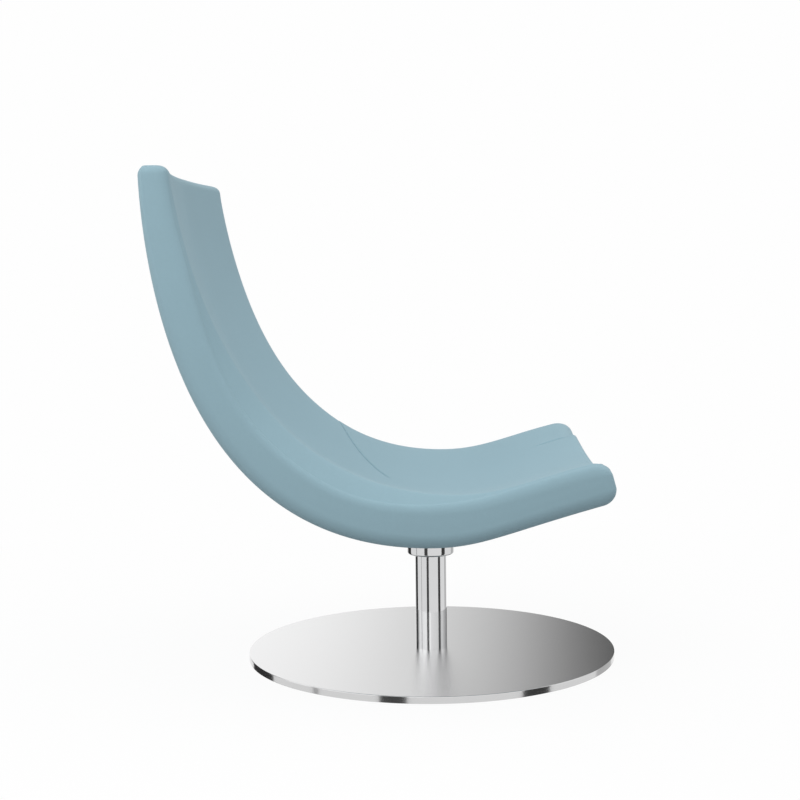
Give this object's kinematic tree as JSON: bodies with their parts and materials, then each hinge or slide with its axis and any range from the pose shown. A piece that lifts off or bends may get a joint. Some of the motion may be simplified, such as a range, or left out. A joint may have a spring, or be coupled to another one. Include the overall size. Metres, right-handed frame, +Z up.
{
  "type": "pedestal swivel armchair",
  "caption": "Upholstered lounge chair: one curved shell in light blue cloth with raised side rims, which turns on a chromed column and a flat round stainless base.",
  "frame": {"origin": "on the column's axis at the underside of the floor pad, at floor level", "axes": "+Z up, the chair faces -Y, its width runs along X"},
  "size_m": [0.71, 0.8402, 0.916],
  "materials": {
    "upholstery_cloth": "matte light blue woven upholstery cloth",
    "foam": "cut upholstery foam, matte",
    "plywood": "moulded plywood, raw",
    "base_steel": "fine brushed stainless steel with a polished edge",
    "column_chrome": "bright chrome plate",
    "plain_steel": "machined or zinc plated steel, satin",
    "black_steel": "black powder coat, satin",
    "nylon": "natural nylon, matte",
    "floor_pad": "thin dark non-slip pad, matte"
  },
  "bodies": {
    "base": {"floor_pad": "floor_pad", "base_weight_plate": "black_steel", "base_cover": "base_steel", "column_screw_1": "plain_steel", "column_screw_2": "plain_steel", "column_screw_3": "plain_steel", "column_foot_plug": "plain_steel", "column_tube": "column_chrome", "bearing_housing": "plain_steel", "upper_bush": "nylon", "lower_bush": "nylon", "thrust_lower_race": "plain_steel", "thrust_ball_ring": "plain_steel"},
    "seat": {"thrust_upper_race": "plain_steel", "spindle": "plain_steel", "retaining_washer": "plain_steel", "retaining_bolt": "plain_steel", "swivel_collar": "column_chrome", "mounting_plate": "black_steel", "seat_bolt_1": "plain_steel", "seat_bolt_2": "plain_steel", "seat_bolt_3": "plain_steel", "seat_bolt_4": "plain_steel", "seat_washer_1": "plain_steel", "seat_washer_2": "plain_steel", "seat_washer_3": "plain_steel", "seat_washer_4": "plain_steel", "seat_spacer_1": "plain_steel", "seat_spacer_2": "plain_steel", "seat_spacer_3": "plain_steel", "seat_spacer_4": "plain_steel", "threaded_insert_1": "plain_steel", "threaded_insert_2": "plain_steel", "threaded_insert_3": "plain_steel", "threaded_insert_4": "plain_steel", "plywood_shell": "plywood", "rear_foam": "foam", "seat_foam": "foam", "back_foam": "foam", "left_rim_foam": "foam", "right_rim_foam": "foam", "seat_cover": "upholstery_cloth", "back_cover": "upholstery_cloth"}
  },
  "joints": [
    {"name": "swivel", "type": "hinge", "parent": "base", "child": "seat", "pos_m": [0, 0, 0.2], "axis": [0, 0, 1], "continuous": true}
  ]
}
